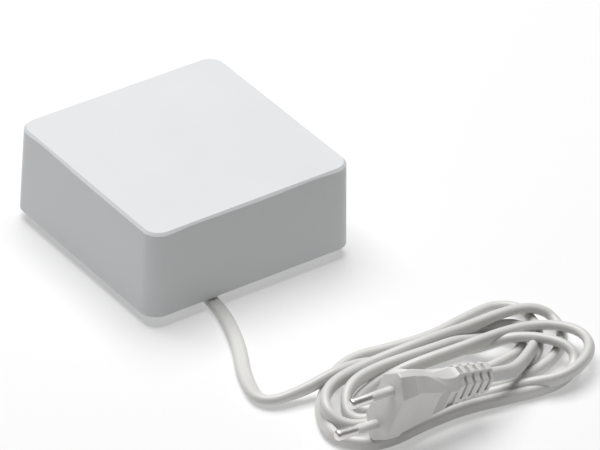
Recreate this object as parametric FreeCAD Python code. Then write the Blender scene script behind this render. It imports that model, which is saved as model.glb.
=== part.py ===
import FreeCAD, Part
import math
import os

# A mains-fed control unit for a roof window: a square drafted housing on a recessed base, the
# boards and parts inside it, and its flat mains cord, which ends in a hank and a two-pin plug.
# Origin: middle of the housing's footprint, on the surface it stands on. +Z is up, and the cord
# leaves towards -Y.

Vec = FreeCAD.Vector
UP = Vec(0, 0, 1)

# Housing
FOOT_SIDE = 94.0
TOP_SIDE = 92.0
SHELL_HEIGHT = 36.6
FOOT_GAP = 5.0
CORNER_RADIUS = 7.0
TOP_CHAMFER = 1.0
WALL = 2.2
TOP_WALL = 2.4
BOSS_RADIUS = 3.6
BOSS_INSET = 12.0
RIB_THICKNESS = 1.2

# Base
BASE_CLEARANCE = 0.3
FLANGE_THICKNESS = 2.2
PLINTH_SIDE = 80.0
PLINTH_RADIUS = 6.0
PLINTH_LIFT = 1.0
FLOOR_THICKNESS = 2.0
WELL_RADIUS = 5.0
STANDOFF_RADIUS = 3.0
FOOT_RADIUS = 4.4
FOOT_RECESS = 0.6
FOOT_X = 34.0
FOOT_Y = 22.0
WALL_HOLE_RADIUS = 2.2
WALL_HOLE_SPACING = 56.0
WALL_TUBE_RADIUS = 4.6

# Screws
SCREW_RADIUS = 1.5
SCREW_PILOT_RADIUS = 1.55
SCREW_CLEARANCE_RADIUS = 1.8
SCREW_HEAD_RADIUS = 2.8
SCREW_HEAD_HEIGHT = 2.0
SCREW_LENGTH = 10.0
HEAD_RECESS_RADIUS = 3.2
CROSS_WIDTH = 0.9

# Circuit board
BOARD_WIDTH = 76.0
BOARD_FRONT_Y = -0.5
BOARD_BACK_Y = 38.0
BOARD_THICKNESS = 1.6
BOARD_LIFT = 12.0
BOSS_CLEARANCE = 1.4
BOARD_SCREW_X = 33.0
BOARD_FRONT_SCREW_Y = 4.0
BOARD_REAR_SCREW_X = 24.0
BOARD_REAR_SCREW_Y = 33.0
BOARD_SCREW_LENGTH = 6.0

# Board parts. Each is placed by the middle of its footprint on the board.
TRANSFORMER = (-19.0, 20.5)
TRANSFORMER_WIDTH = 24.0
TRANSFORMER_DEPTH = 20.0
TRANSFORMER_HEIGHT = 18.0
CORE_LIMB = 5.0
CORE_BAR = 3.5
WINDING_OVERHANG = 3.0
WINDING_CLEARANCE = 0.3
WINDING_RADIUS = 1.5
MAINS_TERMINAL = (-17.5, 5.0)
OUTPUT_TERMINAL = (20.5, 5.0)
TERMINAL_WIDTH = 5.0
TERMINAL_DEPTH = 8.0
TERMINAL_HEIGHT = 9.5
TERMINAL_HOLE_RADIUS = 1.4
TERMINAL_HOLE_LIFT = 3.6
TERMINAL_HOLE_DEPTH = 5.6
TERMINAL_WELL_RADIUS = 1.7
TERMINAL_WELL_DEPTH = 2.85
TERMINAL_WELL_BACK = 0.8
FUSE = (-4.0, 6.5)
FUSE_RADIUS = 4.0
FUSE_HEIGHT = 7.5
EDGE_ROUNDING = 0.6
VARISTOR = (6.0, 4.5)
VARISTOR_RADIUS = 4.8
VARISTOR_THICKNESS = 3.2
VARISTOR_LIFT = 6.4
VARISTOR_ROUNDING = 1.0
VARISTOR_LEAD_RADIUS = 0.4
VARISTOR_LEAD_LENGTH = 3.0
VARISTOR_LEAD_X = 2.5
FILTER_CAPACITOR = (-4.0, 15.5)
FILTER_WIDTH = 6.0
FILTER_DEPTH = 8.0
FILTER_HEIGHT = 11.0
BRIDGE_FORWARD = 6.5
BRIDGE = (-2.2, TRANSFORMER[1] + TRANSFORMER_DEPTH / 2 - BRIDGE_FORWARD)
BRIDGE_WIDTH = 8.0
BRIDGE_DEPTH = 3.6
BRIDGE_HEIGHT = 9.0
BRIDGE_LIFT = 1.0
BRIDGE_LEAD = 0.6
BRIDGE_LEAD_PITCH = 2.0
MAINS_CAPACITOR = (5.0, 14.5)
MAINS_CAN_RADIUS = 5.0
MAINS_CAN_HEIGHT = 20.0
OUTPUT_CAPACITORS = ((7.0, 27.0), (15.5, 31.5))
OUTPUT_CAN_RADIUS = 4.0
OUTPUT_CAN_HEIGHT = 14.0
CAN_GROOVE_RADIUS = 0.7
CAN_GROOVE_OUT = 0.2
CAN_GROOVE_LIFT = 2.5
RELAYS = ((15.0, 15.6), (23.4, 15.6))
RELAY_WIDTH = 7.6
RELAY_DEPTH = 12.0
RELAY_HEIGHT = 14.0
CHIP = (23.4, 25.0)
CHIP_WIDTH = 7.0
CHIP_DEPTH = 5.0
CHIP_THICKNESS = 1.4
CHIP_LIFT = 0.2
CHIP_FEET = 7
CHIP_FOOT_PITCH = 1.0
CHIP_FOOT_WIDTH = 0.4
CHIP_FOOT_DEPTH = 0.9
CHIP_FOOT_HEIGHT = 0.5
CHIP_FOOT_Y = 2.8
RADIO_THICKNESS = 1.0
RADIO_LENGTH = 22.0
RADIO_HEIGHT = 15.0
RADIO_EDGE = 1.4
SHIELD_THICKNESS = 2.2
SHIELD_LENGTH = 12.1
SHIELD_HEIGHT = 10.5
SHIELD_LIFT = 2.4
SHIELD_SHIFT = 2.0
SHIELD_ROUNDING = 0.4
ANTENNA_RADIUS = 0.5
ANTENNA_INSET = 3.0
ANTENNA_DROP = 5.0
ANTENNA_RISE = 12.0
ANTENNA_RUN = 18.0

# Mains cord
CORD_WIDTH = 5.7
CORD_THICKNESS = 3.7
CORD_X = -17.5
WIRE_DIAMETER = 2.2
WIRE_SPREAD = 2.5
WIRE_GAP = 0.1
WIRE_STRAIGHT = 3.0
WIRE_ELBOW_RUN = 2.4
WIRE_ELBOW_DROP = 0.6
WIRE_ENTRY_RUN = 1.6
WIRE_ENTRY_DEPTH = 4.0

# Gland
GLAND_Y = -17.0
GLAND_Z = 7.4
GLAND_SLOPE = 11.6
GLAND_WALL = 1.8
SLEEVE_LENGTH = 22.0
SLEEVE_ROOT_WIDTH = 8.6
SLEEVE_ROOT_HEIGHT = 6.4
SLEEVE_TIP_WIDTH = 7.1
SLEEVE_TIP_HEIGHT = 4.7
COLLAR_OVER = 0.9
COLLAR_THICKNESS = 1.2
GLAND_CLEARANCE = 0.1
TUNNEL_WIDTH = 11.0
TUNNEL_WALL = 1.4
TUNNEL_ABOVE_AXIS = 4.4
CLAMP_DEPTH = 6.0
CLAMP_WIDTH = 20.0
CLAMP_THICKNESS = 2.8
CLAMP_SCREW_OFFSET = 7.0
CLAMP_GAP = 0.3
CLAMP_DISTANCE = 3.6
CLAMP_SCREW_LENGTH = 5.0

# Hank of the cord
HANK_LEFT = -33.5
HANK_RIGHT = 86.0
HANK_FAR = -103.0
HANK_NEAR = -164.0
HANK_BAND = 19.0
HANK_HEIGHT = 11.4
HANK_LAYER = 5.7
HANK_PLUG_LEFT = -28.0
HANK_PLUG_RIGHT = 54.0

# Plug. PLUG_FACE is the middle of the face that the pins stand on.
PLUG_FACE = Vec(-20.6, -157.2, 22.8)
PLUG_YAW = 180.9
PLUG_PITCH = -5.3
PLUG_ROLL = -17.7
PLUG_HALF_WIDTH = 17.65
PLUG_HALF_THICKNESS = 6.85
PLUG_EDGE_RADIUS = 0.7
PLUG_RIM = 7.5
PLUG_RIM_STEP = 0.35
PLUG_POINT_SLOPE = 4.6
PLUG_POINT_BLUNT = 1.3
PLUG_RIM_TAPER = 1.2
# Sections behind the rim: distance behind the face, then how much smaller than the face the half
# width, the half flat and the half thickness are, and half the blunt end.
PLUG_SECTIONS = (
    (14.0, 3.4, 6.2, 0.6, 2.4),
    (21.0, 6.0, 7.6, 1.1, 3.4),
    (27.0, 8.8, 10.4, 1.6, 3.8),
)
PLUG_BODY_LENGTH = 31.0
PLUG_LENGTH = 50.0
RELIEF_HEIGHT = 14.0
RELIEF_THICKNESS = 10.4
RELIEF_TIP_HEIGHT = 12.6
RELIEF_TIP_THICKNESS = 9.2
RELIEF_CORNER = 1.8
RELIEF_TIP_CORNER = 2.2
RELIEF_FIRST_SLOT = 2.6
RELIEF_SLOT_MARGIN = 1.0
RELIEF_SLOT_SHRINK = 0.3
RELIEF_EDGE_SLOT = 2.4
RELIEF_SLOT = 1.2
RELIEF_SLOT_DEPTH = 2.0
RELIEF_SLOT_PITCH = 3.6
RELIEF_SLOTS = 4
TAIL_STRAIGHT = 9.0
PIN_RADIUS = 2.0
PIN_CORE_RADIUS = 1.45
PIN_SLEEVE_RADIUS = 1.8
PIN_LENGTH = 19.0
PIN_SLEEVE_LENGTH = 10.0
PIN_ROOT = 6.0
PIN_BASE_SPACING = 18.6
PIN_TIP_SPACING = 17.5

# Heights worked out from the sizes above
FLANGE_TOP = FOOT_GAP + FLANGE_THICKNESS
FLOOR_TOP = PLINTH_LIFT + FLOOR_THICKNESS
SHELL_TOP = FOOT_GAP + SHELL_HEIGHT
BOARD_TOP = BOARD_LIFT + BOARD_THICKNESS
BOSS_X = FOOT_SIDE / 2 - BOSS_INSET
BOSS_FREE = BOSS_X - BOSS_RADIUS - BOSS_CLEARANCE
BOARD_NOTCH = BOARD_WIDTH / 2 - BOSS_FREE
RADIO_BOARD = (BOARD_WIDTH / 2 - RADIO_EDGE, BOSS_FREE - RADIO_LENGTH / 2)
DRAFT = (FOOT_SIDE - TOP_SIDE) / 2 / SHELL_HEIGHT


def cylinder(radius, height, x, y, z, direction=UP):
    return Part.makeCylinder(radius, height, Vec(x, y, z), direction)


def box_between(low, high):
    """A box from its lowest corner to its highest."""
    return Part.makeBox(high[0] - low[0], high[1] - low[1], high[2] - low[2], Vec(*low))


def fused(shapes):
    """One clean solid from shapes that meet."""
    return shapes[0].multiFuse(shapes[1:]).removeSplitter()


def corners_of(half_x, half_y):
    return [(x, y) for x in (-half_x, half_x) for y in (-half_y, half_y)]


def rounded_outline(points, radius):
    """A closed wire of straight sides with a tangent arc at each point."""
    edges = []
    count = len(points)
    ends = []
    for index, point in enumerate(points):
        before = (points[index - 1] - point).normalize()
        after = (points[(index + 1) % count] - point).normalize()
        half_angle = before.getAngle(after) / 2
        reach = radius / math.tan(half_angle)
        inward = (before + after).normalize()
        middle = point + inward * (radius / math.sin(half_angle) - radius)
        ends.append((point + before * reach, middle, point + after * reach))
    for index, (start, middle, end) in enumerate(ends):
        edges.append(Part.Arc(start, middle, end).toShape())
        edges.append(Part.makeLine(end, ends[(index + 1) % count][0]))
    return Part.Wire(edges)


def rectangle(width, depth, radius, z, x=0.0, y=0.0):
    """A wire round a rectangle with round corners, in a level plane."""
    a = width / 2
    b = depth / 2
    points = [Vec(x - a, y - b, z), Vec(x + a, y - b, z), Vec(x + a, y + b, z), Vec(x - a, y + b, z)]
    return rounded_outline(points, radius)


def prism(wire, height, direction=UP):
    return Part.Face(wire).extrude(direction * height)


def oval_prism(width, height, length):
    """A flat cord's section, round at both ends, standing on y = 0 and running to -Y."""
    radius = height / 2
    flat = width / 2 - radius
    low = Vec(0, 0, -radius)
    top = Vec(0, 0, radius)
    side = Vec(flat, 0, 0)
    wire = Part.Wire([
        Part.makeLine(low - side, low + side),
        Part.Arc(low + side, Vec(width / 2, 0, 0), top + side).toShape(),
        Part.makeLine(top + side, top - side),
        Part.Arc(top - side, Vec(-width / 2, 0, 0), low - side).toShape(),
    ])
    return prism(wire, length, Vec(0, -1, 0))


def screw(x, y, head_z, length, direction):
    """A pan-head screw: the head's underside is at head_z, and the shank points along direction."""
    shank = cylinder(SCREW_RADIUS, length, x, y, head_z, direction)
    head = cylinder(SCREW_HEAD_RADIUS, SCREW_HEAD_HEIGHT, x, y, head_z, direction * -1)
    top = head_z - direction.z * SCREW_HEAD_HEIGHT
    depth = SCREW_HEAD_HEIGHT / 2
    low = min(top, top + direction.z * depth)
    slot_length = SCREW_HEAD_RADIUS * 1.2
    slots = [
        box_between((x - a / 2, y - b / 2, low), (x + a / 2, y + b / 2, low + depth))
        for a, b in ((slot_length, CROSS_WIDTH), (CROSS_WIDTH, slot_length))
    ]
    return fused([shank, head]).cut(fused(slots))


def shell_loft(inset, bottom, top):
    """The housing's drafted square between two heights, moved inwards by inset."""
    wires = []
    for z in (bottom, top):
        side = FOOT_SIDE - 2 * inset - 2 * DRAFT * (z - FOOT_GAP)
        wires.append(rectangle(side, side, max(CORNER_RADIUS - inset, 1.0), z))
    return Part.makeLoft(wires, True, True)


def make_cover():
    """The housing: drafted walls, a chamfered top edge, four screw bosses and their ribs."""
    outer = shell_loft(0.0, FOOT_GAP, SHELL_TOP)
    rim = [
        edge for edge in outer.Edges
        if edge.BoundBox.ZMin > SHELL_TOP - 0.01
    ]
    outer = outer.makeChamfer(TOP_CHAMFER, rim)
    ceiling = SHELL_TOP - TOP_WALL
    shell = outer.cut(shell_loft(WALL, FOOT_GAP, ceiling))
    inner_half = FOOT_SIDE / 2 - WALL - DRAFT * (ceiling - FOOT_GAP)
    pieces = [shell]
    for x, y in corners_of(BOSS_X, BOSS_X):
        pieces.append(cylinder(BOSS_RADIUS, ceiling - FLANGE_TOP + TOP_WALL / 2, x, y, FLANGE_TOP))
        reach_x = math.copysign(inner_half + WALL / 2, x)
        reach_y = math.copysign(inner_half + WALL / 2, y)
        half = RIB_THICKNESS / 2
        rib_low = FLANGE_TOP + SCREW_LENGTH
        pieces.append(box_between((min(x, reach_x), y - half, rib_low),
                                  (max(x, reach_x), y + half, ceiling + TOP_WALL / 2)))
        pieces.append(box_between((x - half, min(y, reach_y), rib_low),
                                  (x + half, max(y, reach_y), ceiling + TOP_WALL / 2)))
    cover = fused(pieces)
    pilots = [
        cylinder(SCREW_PILOT_RADIUS, SCREW_LENGTH, x, y, FLANGE_TOP)
        for x, y in corners_of(BOSS_X, BOSS_X)
    ]
    return cover.cut(fused(pilots))


def to_gland(shape):
    """Moves a shape from the gland's own frame, whose cord runs to -Y, to its place."""
    moved = shape.copy()
    moved.rotate(Vec(0, 0, 0), Vec(1, 0, 0), GLAND_SLOPE)
    moved.translate(Vec(CORD_X, GLAND_Y, GLAND_Z))
    return moved


def gland_point(y, z=0.0):
    """A point of the gland's own frame, in the housing's frame."""
    angle = math.radians(GLAND_SLOPE)
    return Vec(CORD_X, GLAND_Y + y * math.cos(angle) - z * math.sin(angle),
               GLAND_Z + y * math.sin(angle) + z * math.cos(angle))


def clamp_screw_places():
    y = GLAND_WALL + CLAMP_DISTANCE + CLAMP_DEPTH / 2
    return [(-CLAMP_SCREW_OFFSET, y), (CLAMP_SCREW_OFFSET, y)]


def clamp_span():
    start = GLAND_WALL + CLAMP_DISTANCE
    return start, start + CLAMP_DEPTH


def base_tunnel():
    """The sloping tunnel under the base that the cord leaves through, and its saddle block."""
    half = TUNNEL_WIDTH / 2
    depth = GLAND_Z + 10
    length = SLEEVE_LENGTH + 8
    outer = box_between((-half - TUNNEL_WALL, -length, -depth),
                        (half + TUNNEL_WALL, GLAND_WALL, TUNNEL_ABOVE_AXIS + TUNNEL_WALL))
    start, end = clamp_span()
    saddle = box_between((-CLAMP_WIDTH / 2, start, -depth),
                         (CLAMP_WIDTH / 2, end, -CLAMP_GAP / 2))
    keep = prism(rectangle(PLINTH_SIDE, PLINTH_SIDE, PLINTH_RADIUS, PLINTH_LIFT), SHELL_HEIGHT)
    return [to_gland(outer).common(keep), to_gland(saddle).common(keep)]


def base_tunnel_cuts():
    half = TUNNEL_WIDTH / 2
    depth = GLAND_Z + 10
    length = SLEEVE_LENGTH + 8
    channel = to_gland(box_between((-half, -length, -depth), (half, 0, TUNNEL_ABOVE_AXIS)))
    inside = prism(rectangle(PLINTH_SIDE + 0.2, PLINTH_SIDE + 0.2, PLINTH_RADIUS, -1.0),
                   SHELL_HEIGHT)
    neck = oval_prism(SLEEVE_ROOT_WIDTH + 2 * GLAND_CLEARANCE,
                      SLEEVE_ROOT_HEIGHT + 2 * GLAND_CLEARANCE, GLAND_WALL + 2)
    neck.translate(Vec(0, GLAND_WALL + 1, 0))
    start, end = clamp_span()
    groove = oval_prism(CORD_WIDTH + 2 * GLAND_CLEARANCE, CORD_THICKNESS + 2 * GLAND_CLEARANCE,
                        CLAMP_DEPTH + 2)
    groove.translate(Vec(0, end + 1, 0))
    cuts = [channel.common(inside), to_gland(neck), to_gland(groove)]
    for x, y in clamp_screw_places():
        cuts.append(to_gland(cylinder(SCREW_PILOT_RADIUS, CLAMP_SCREW_LENGTH, x, y,
                                      -CLAMP_SCREW_LENGTH)))
    return cuts


def board_screw_places():
    return (
        [(x, BOARD_FRONT_SCREW_Y) for x in (-BOARD_SCREW_X, BOARD_SCREW_X)]
        + [(x, BOARD_REAR_SCREW_Y) for x in (-BOARD_REAR_SCREW_X, BOARD_REAR_SCREW_X)]
    )


def make_base():
    """The base: a flange inside the cover's foot over a hollow plinth that stands on the feet."""
    flange_side = FOOT_SIDE - 2 * WALL - 2 * BASE_CLEARANCE - 2 * DRAFT * FLANGE_THICKNESS
    flange = prism(rectangle(flange_side, flange_side, CORNER_RADIUS - WALL, FOOT_GAP),
                   FLANGE_THICKNESS)
    plinth = prism(rectangle(PLINTH_SIDE, PLINTH_SIDE, PLINTH_RADIUS, PLINTH_LIFT),
                   FLANGE_TOP - PLINTH_LIFT)
    hollow_side = PLINTH_SIDE - 2 * FLOOR_THICKNESS
    hollow = prism(rectangle(hollow_side, hollow_side, PLINTH_RADIUS - FLOOR_THICKNESS, FLOOR_TOP),
                   FLANGE_TOP)
    tray = fused([flange, plinth]).cut(hollow)
    pieces = [tray] + base_tunnel()
    for x, y in corners_of(BOSS_X, BOSS_X):
        pieces.append(cylinder(WELL_RADIUS, FLANGE_TOP - PLINTH_LIFT, x, y, PLINTH_LIFT))
    for x, y in board_screw_places():
        pieces.append(cylinder(STANDOFF_RADIUS, BOARD_LIFT - FLOOR_TOP + FLOOR_THICKNESS / 2,
                               x, y, FLOOR_TOP - FLOOR_THICKNESS / 2))
    for x in (-WALL_HOLE_SPACING / 2, WALL_HOLE_SPACING / 2):
        pieces.append(cylinder(WALL_TUBE_RADIUS, FLANGE_TOP - PLINTH_LIFT, x, -FOOT_Y / 2,
                               PLINTH_LIFT))
    base = fused(pieces)
    cuts = base_tunnel_cuts()
    head_depth = FLANGE_TOP - PLINTH_LIFT - FLOOR_THICKNESS
    for x, y in corners_of(BOSS_X, BOSS_X):
        cuts.append(cylinder(SCREW_CLEARANCE_RADIUS, SHELL_HEIGHT, x, y, 0))
        cuts.append(cylinder(HEAD_RECESS_RADIUS, head_depth, x, y, PLINTH_LIFT))
    for x, y in board_screw_places():
        cuts.append(cylinder(SCREW_PILOT_RADIUS, BOARD_SCREW_LENGTH, x, y,
                             BOARD_LIFT - BOARD_SCREW_LENGTH))
    for x, y in corners_of(FOOT_X, FOOT_Y):
        cuts.append(cylinder(FOOT_RADIUS + GLAND_CLEARANCE, FOOT_RECESS, x, y, PLINTH_LIFT))
    for x in (-WALL_HOLE_SPACING / 2, WALL_HOLE_SPACING / 2):
        cuts.append(cylinder(WALL_HOLE_RADIUS, SHELL_HEIGHT, x, -FOOT_Y / 2, 0))
        cuts.append(cylinder(WALL_TUBE_RADIUS - TUNNEL_WALL / 2, FLANGE_TOP, x, -FOOT_Y / 2,
                             FLOOR_TOP))
    for cut in cuts:
        base = base.cut(cut)
    return base


def make_cover_screws():
    head_z = FLANGE_TOP - FLOOR_THICKNESS
    return Part.makeCompound([
        screw(x, y, head_z, SCREW_LENGTH, UP) for x, y in corners_of(BOSS_X, BOSS_X)
    ])


def make_rubber_feet():
    """Four round pads in recesses under the plinth, with a small edge chamfer."""
    feet = []
    for x, y in corners_of(FOOT_X, FOOT_Y):
        foot = cylinder(FOOT_RADIUS, PLINTH_LIFT + FOOT_RECESS, x, y, 0)
        rim = [edge for edge in foot.Edges if edge.BoundBox.ZMax < 0.01]
        feet.append(foot.makeChamfer(FOOT_RECESS / 2, rim))
    return Part.makeCompound(feet)


def make_circuit_board():
    """The main board, with two corners cut back for the cover's bosses."""
    half = BOARD_WIDTH / 2
    front = BOARD_FRONT_Y
    back = BOARD_BACK_Y
    cut = BOARD_NOTCH
    points = [
        (-half, front), (half, front), (half, back - cut), (half - cut, back - cut),
        (half - cut, back), (cut - half, back), (cut - half, back - cut), (-half, back - cut),
        (-half, front),
    ]
    board = prism(Part.makePolygon([Vec(x, y, BOARD_LIFT) for x, y in points]), BOARD_THICKNESS)
    holes = [
        cylinder(SCREW_CLEARANCE_RADIUS, BOARD_THICKNESS, x, y, BOARD_LIFT)
        for x, y in board_screw_places()
    ]
    return board.cut(fused(holes))


def make_board_screws():
    return Part.makeCompound([
        screw(x, y, BOARD_TOP, BOARD_SCREW_LENGTH, UP * -1) for x, y in board_screw_places()
    ])


def block_on_board(place, width, depth, height, lift=0.0):
    x, y = place
    z = BOARD_TOP + lift
    return box_between((x - width / 2, y - depth / 2, z), (x + width / 2, y + depth / 2, z + height))


def make_transformer_core():
    """A ferrite core of two E halves: outer limbs, end bars and the middle limb."""
    depth = TRANSFORMER_DEPTH - 2 * WINDING_OVERHANG
    core = block_on_board(TRANSFORMER, TRANSFORMER_WIDTH, depth, TRANSFORMER_HEIGHT)
    window = (TRANSFORMER_WIDTH - 3 * CORE_LIMB) / 2
    x, y = TRANSFORMER
    openings = []
    for side in (-1, 1):
        middle = x + side * (CORE_LIMB + window) / 2
        openings.append(block_on_board((middle, y), window, TRANSFORMER_DEPTH,
                                       TRANSFORMER_HEIGHT - 2 * CORE_BAR, CORE_BAR))
    return core.cut(fused(openings))


def make_transformer_winding():
    """The taped coil on its bobbin, which fills the core's windows and stands out of both faces."""
    x, y = TRANSFORMER
    window = (TRANSFORMER_WIDTH - 3 * CORE_LIMB) / 2
    height = TRANSFORMER_HEIGHT - 2 * CORE_BAR - 2 * WINDING_CLEARANCE
    lift = CORE_BAR + WINDING_CLEARANCE
    width = CORE_LIMB + 2 * window - 2 * WINDING_CLEARANCE
    outer = block_on_board(TRANSFORMER, width, TRANSFORMER_DEPTH, height, lift)
    hole_depth = TRANSFORMER_DEPTH - 2 * WINDING_OVERHANG + 2 * WINDING_CLEARANCE
    hole = block_on_board(TRANSFORMER, CORE_LIMB + 2 * WINDING_CLEARANCE, hole_depth, height, lift)
    coil = outer.cut(hole)
    upright = [
        edge for edge in coil.Edges
        if edge.BoundBox.ZLength > height - 0.01
        and abs(abs(edge.BoundBox.Center.y - y) - TRANSFORMER_DEPTH / 2) < 0.01
    ]
    return coil.makeFillet(WINDING_RADIUS, upright)


def terminal_block(place, ways):
    """A row of cage clamps: a wire hole in front and a screw well on top of each way."""
    body = block_on_board(place, TERMINAL_WIDTH * ways, TERMINAL_DEPTH, TERMINAL_HEIGHT)
    x, y = place
    for way in range(ways):
        middle = x + (way - (ways - 1) / 2) * TERMINAL_WIDTH
        body = body.cut(cylinder(TERMINAL_HOLE_RADIUS, TERMINAL_HOLE_DEPTH, middle,
                                 y - TERMINAL_DEPTH / 2, BOARD_TOP + TERMINAL_HOLE_LIFT,
                                 Vec(0, 1, 0)))
        body = body.cut(cylinder(TERMINAL_WELL_RADIUS, TERMINAL_WELL_DEPTH, middle,
                                 y + TERMINAL_WELL_BACK,
                                 BOARD_TOP + TERMINAL_HEIGHT - TERMINAL_WELL_DEPTH))
    return body


def top_edges(body):
    top = body.BoundBox.ZMax
    return [edge for edge in body.Edges if edge.BoundBox.ZMin > top - 0.01]


def upright_edges(body, height):
    return [edge for edge in body.Edges if edge.BoundBox.ZLength > height - 0.01]


def make_fuse():
    """A round plug-in fuse standing on the board."""
    x, y = FUSE
    body = cylinder(FUSE_RADIUS, FUSE_HEIGHT, x, y, BOARD_TOP)
    return body.makeFillet(EDGE_ROUNDING, top_edges(body))


def make_varistor():
    """A coated disc standing on edge, over its two leads."""
    x, y = VARISTOR
    disc = cylinder(VARISTOR_RADIUS, VARISTOR_THICKNESS, x, y - VARISTOR_THICKNESS / 2,
                    BOARD_TOP + VARISTOR_LIFT, Vec(0, 1, 0))
    rims = [edge for edge in disc.Edges if edge.BoundBox.XLength > VARISTOR_RADIUS]
    disc = disc.makeFillet(VARISTOR_ROUNDING, rims)
    leads = [
        cylinder(VARISTOR_LEAD_RADIUS, VARISTOR_LEAD_LENGTH, x + dx, y, BOARD_TOP)
        for dx in (-VARISTOR_LEAD_X, VARISTOR_LEAD_X)
    ]
    return fused([disc] + leads)


def capacitor(place, radius, height):
    """A can with the pressed groove above its seal."""
    x, y = place
    can = cylinder(radius, height, x, y, BOARD_TOP)
    groove = Part.makeTorus(radius + CAN_GROOVE_OUT, CAN_GROOVE_RADIUS,
                            Vec(x, y, BOARD_TOP + CAN_GROOVE_LIFT))
    can = can.cut(groove)
    return can.makeFillet(EDGE_ROUNDING, top_edges(can))


def make_filter_capacitor():
    body = block_on_board(FILTER_CAPACITOR, FILTER_WIDTH, FILTER_DEPTH, FILTER_HEIGHT)
    return body.makeFillet(EDGE_ROUNDING, upright_edges(body, FILTER_HEIGHT))


def make_bridge_rectifier():
    body = block_on_board(BRIDGE, BRIDGE_WIDTH, BRIDGE_DEPTH, BRIDGE_HEIGHT, BRIDGE_LIFT)
    leads = [
        block_on_board((BRIDGE[0] + step * BRIDGE_LEAD_PITCH, BRIDGE[1]), BRIDGE_LEAD, BRIDGE_LEAD,
                       BRIDGE_LIFT + BRIDGE_LEAD)
        for step in (-1.5, -0.5, 0.5, 1.5)
    ]
    return fused([body] + leads)


def make_relays():
    """Two relays side by side, which reverse the motor's supply."""
    relays = []
    for place in RELAYS:
        body = block_on_board(place, RELAY_WIDTH, RELAY_DEPTH, RELAY_HEIGHT)
        relays.append(body.makeFillet(EDGE_ROUNDING, upright_edges(body, RELAY_HEIGHT)))
    return Part.makeCompound(relays)


def make_controller_chip():
    body = block_on_board(CHIP, CHIP_WIDTH, CHIP_DEPTH, CHIP_THICKNESS, CHIP_LIFT)
    feet = []
    for index in range(CHIP_FEET):
        x = CHIP[0] + (index - (CHIP_FEET - 1) / 2) * CHIP_FOOT_PITCH
        for y in (CHIP[1] - CHIP_FOOT_Y, CHIP[1] + CHIP_FOOT_Y):
            feet.append(block_on_board((x, y), CHIP_FOOT_WIDTH, CHIP_FOOT_DEPTH, CHIP_FOOT_HEIGHT))
    return fused([body] + feet)


def make_radio_board():
    """The radio's small board, standing on edge along the housing's side."""
    return block_on_board(RADIO_BOARD, RADIO_THICKNESS, RADIO_LENGTH, RADIO_HEIGHT)


def make_radio_shield():
    x, y = RADIO_BOARD
    place = (x - (RADIO_THICKNESS + SHIELD_THICKNESS) / 2, y - SHIELD_SHIFT)
    can = block_on_board(place, SHIELD_THICKNESS, SHIELD_LENGTH, SHIELD_HEIGHT, SHIELD_LIFT)
    face = [e for e in can.Edges if e.BoundBox.XMax < place[0] - SHIELD_THICKNESS / 2 + 0.01]
    return can.makeFillet(SHIELD_ROUNDING, face)


def make_antenna():
    """A bent wire that rises from the radio's board."""
    x, y = RADIO_BOARD
    end = y + RADIO_LENGTH / 2 - ANTENNA_INSET
    low = BOARD_TOP + RADIO_HEIGHT - ANTENNA_DROP
    start = Vec(x + RADIO_THICKNESS / 2 + ANTENNA_RADIUS, end, low)
    corner = start + Vec(0, 0, ANTENNA_RISE)
    return round_tube([start, corner, corner + Vec(0, -ANTENNA_RUN, 0)], ANTENNA_RADIUS)


def path_of(points):
    """Straight runs joined by tangent arcs, each as large as its two runs allow."""
    lengths = [(b - a).Length for a, b in zip(points, points[1:])]
    edges = []
    radii = []
    last = points[0]
    for index in range(1, len(points) - 1):
        corner = points[index]
        back = (points[index - 1] - corner).normalize()
        ahead = (points[index + 1] - corner).normalize()
        half_turn = (math.pi - back.getAngle(ahead)) / 2
        reach = 0.45 * min(lengths[index - 1], lengths[index])
        radius = reach / math.tan(half_turn)
        inward = (back + ahead).normalize()
        middle = corner + inward * (radius / math.cos(half_turn) - radius)
        start = corner + back * reach
        end = corner + ahead * reach
        edges.append(Part.LineSegment(last, start).toShape())
        edges.append(Part.Arc(start, middle, end).toShape())
        radii.append(radius)
        last = end
    edges.append(Part.LineSegment(last, points[-1]).toShape())
    return Part.Wire(edges), radii


def round_tube(points, radius):
    """A round wire along straight runs and arcs."""
    path, radii = path_of(points)
    profile = Part.Wire(Part.makeCircle(radius, points[0], points[1] - points[0]))
    return path.makePipeShell([profile], True, True)


def flat_tube(points, name):
    """The flat cord along straight runs and arcs, with its wide side kept level."""
    path, radii = path_of(points)
    forward = (points[1] - points[0]).normalize()
    side = UP.cross(forward).normalize()
    rise = forward.cross(side).normalize()
    radius = CORD_THICKNESS / 2
    flat = side * (CORD_WIDTH / 2 - radius)
    low = points[0] - rise * radius
    top = points[0] + rise * radius
    profile = Part.Wire([
        Part.makeLine(low - flat, low + flat),
        Part.Arc(low + flat, points[0] + side * (CORD_WIDTH / 2), top + flat).toShape(),
        Part.makeLine(top + flat, top - flat),
        Part.Arc(top - flat, points[0] - side * (CORD_WIDTH / 2), low - flat).toShape(),
    ])
    sweep = Part.BRepOffsetAPI.MakePipeShell(path)
    sweep.setBiNormalMode(UP)
    sweep.add(profile)
    sweep.build()
    sweep.makeSolid()
    tube = sweep.shape()
    area = Part.Face(profile).Area
    print(name, "radii", [round(value, 1) for value in radii])
    print(name, "volume", round(tube.Volume, 1), "section x length", round(area * path.Length, 1),
          "length", round(path.Length, 1), "valid", tube.isValid())
    return tube


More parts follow.
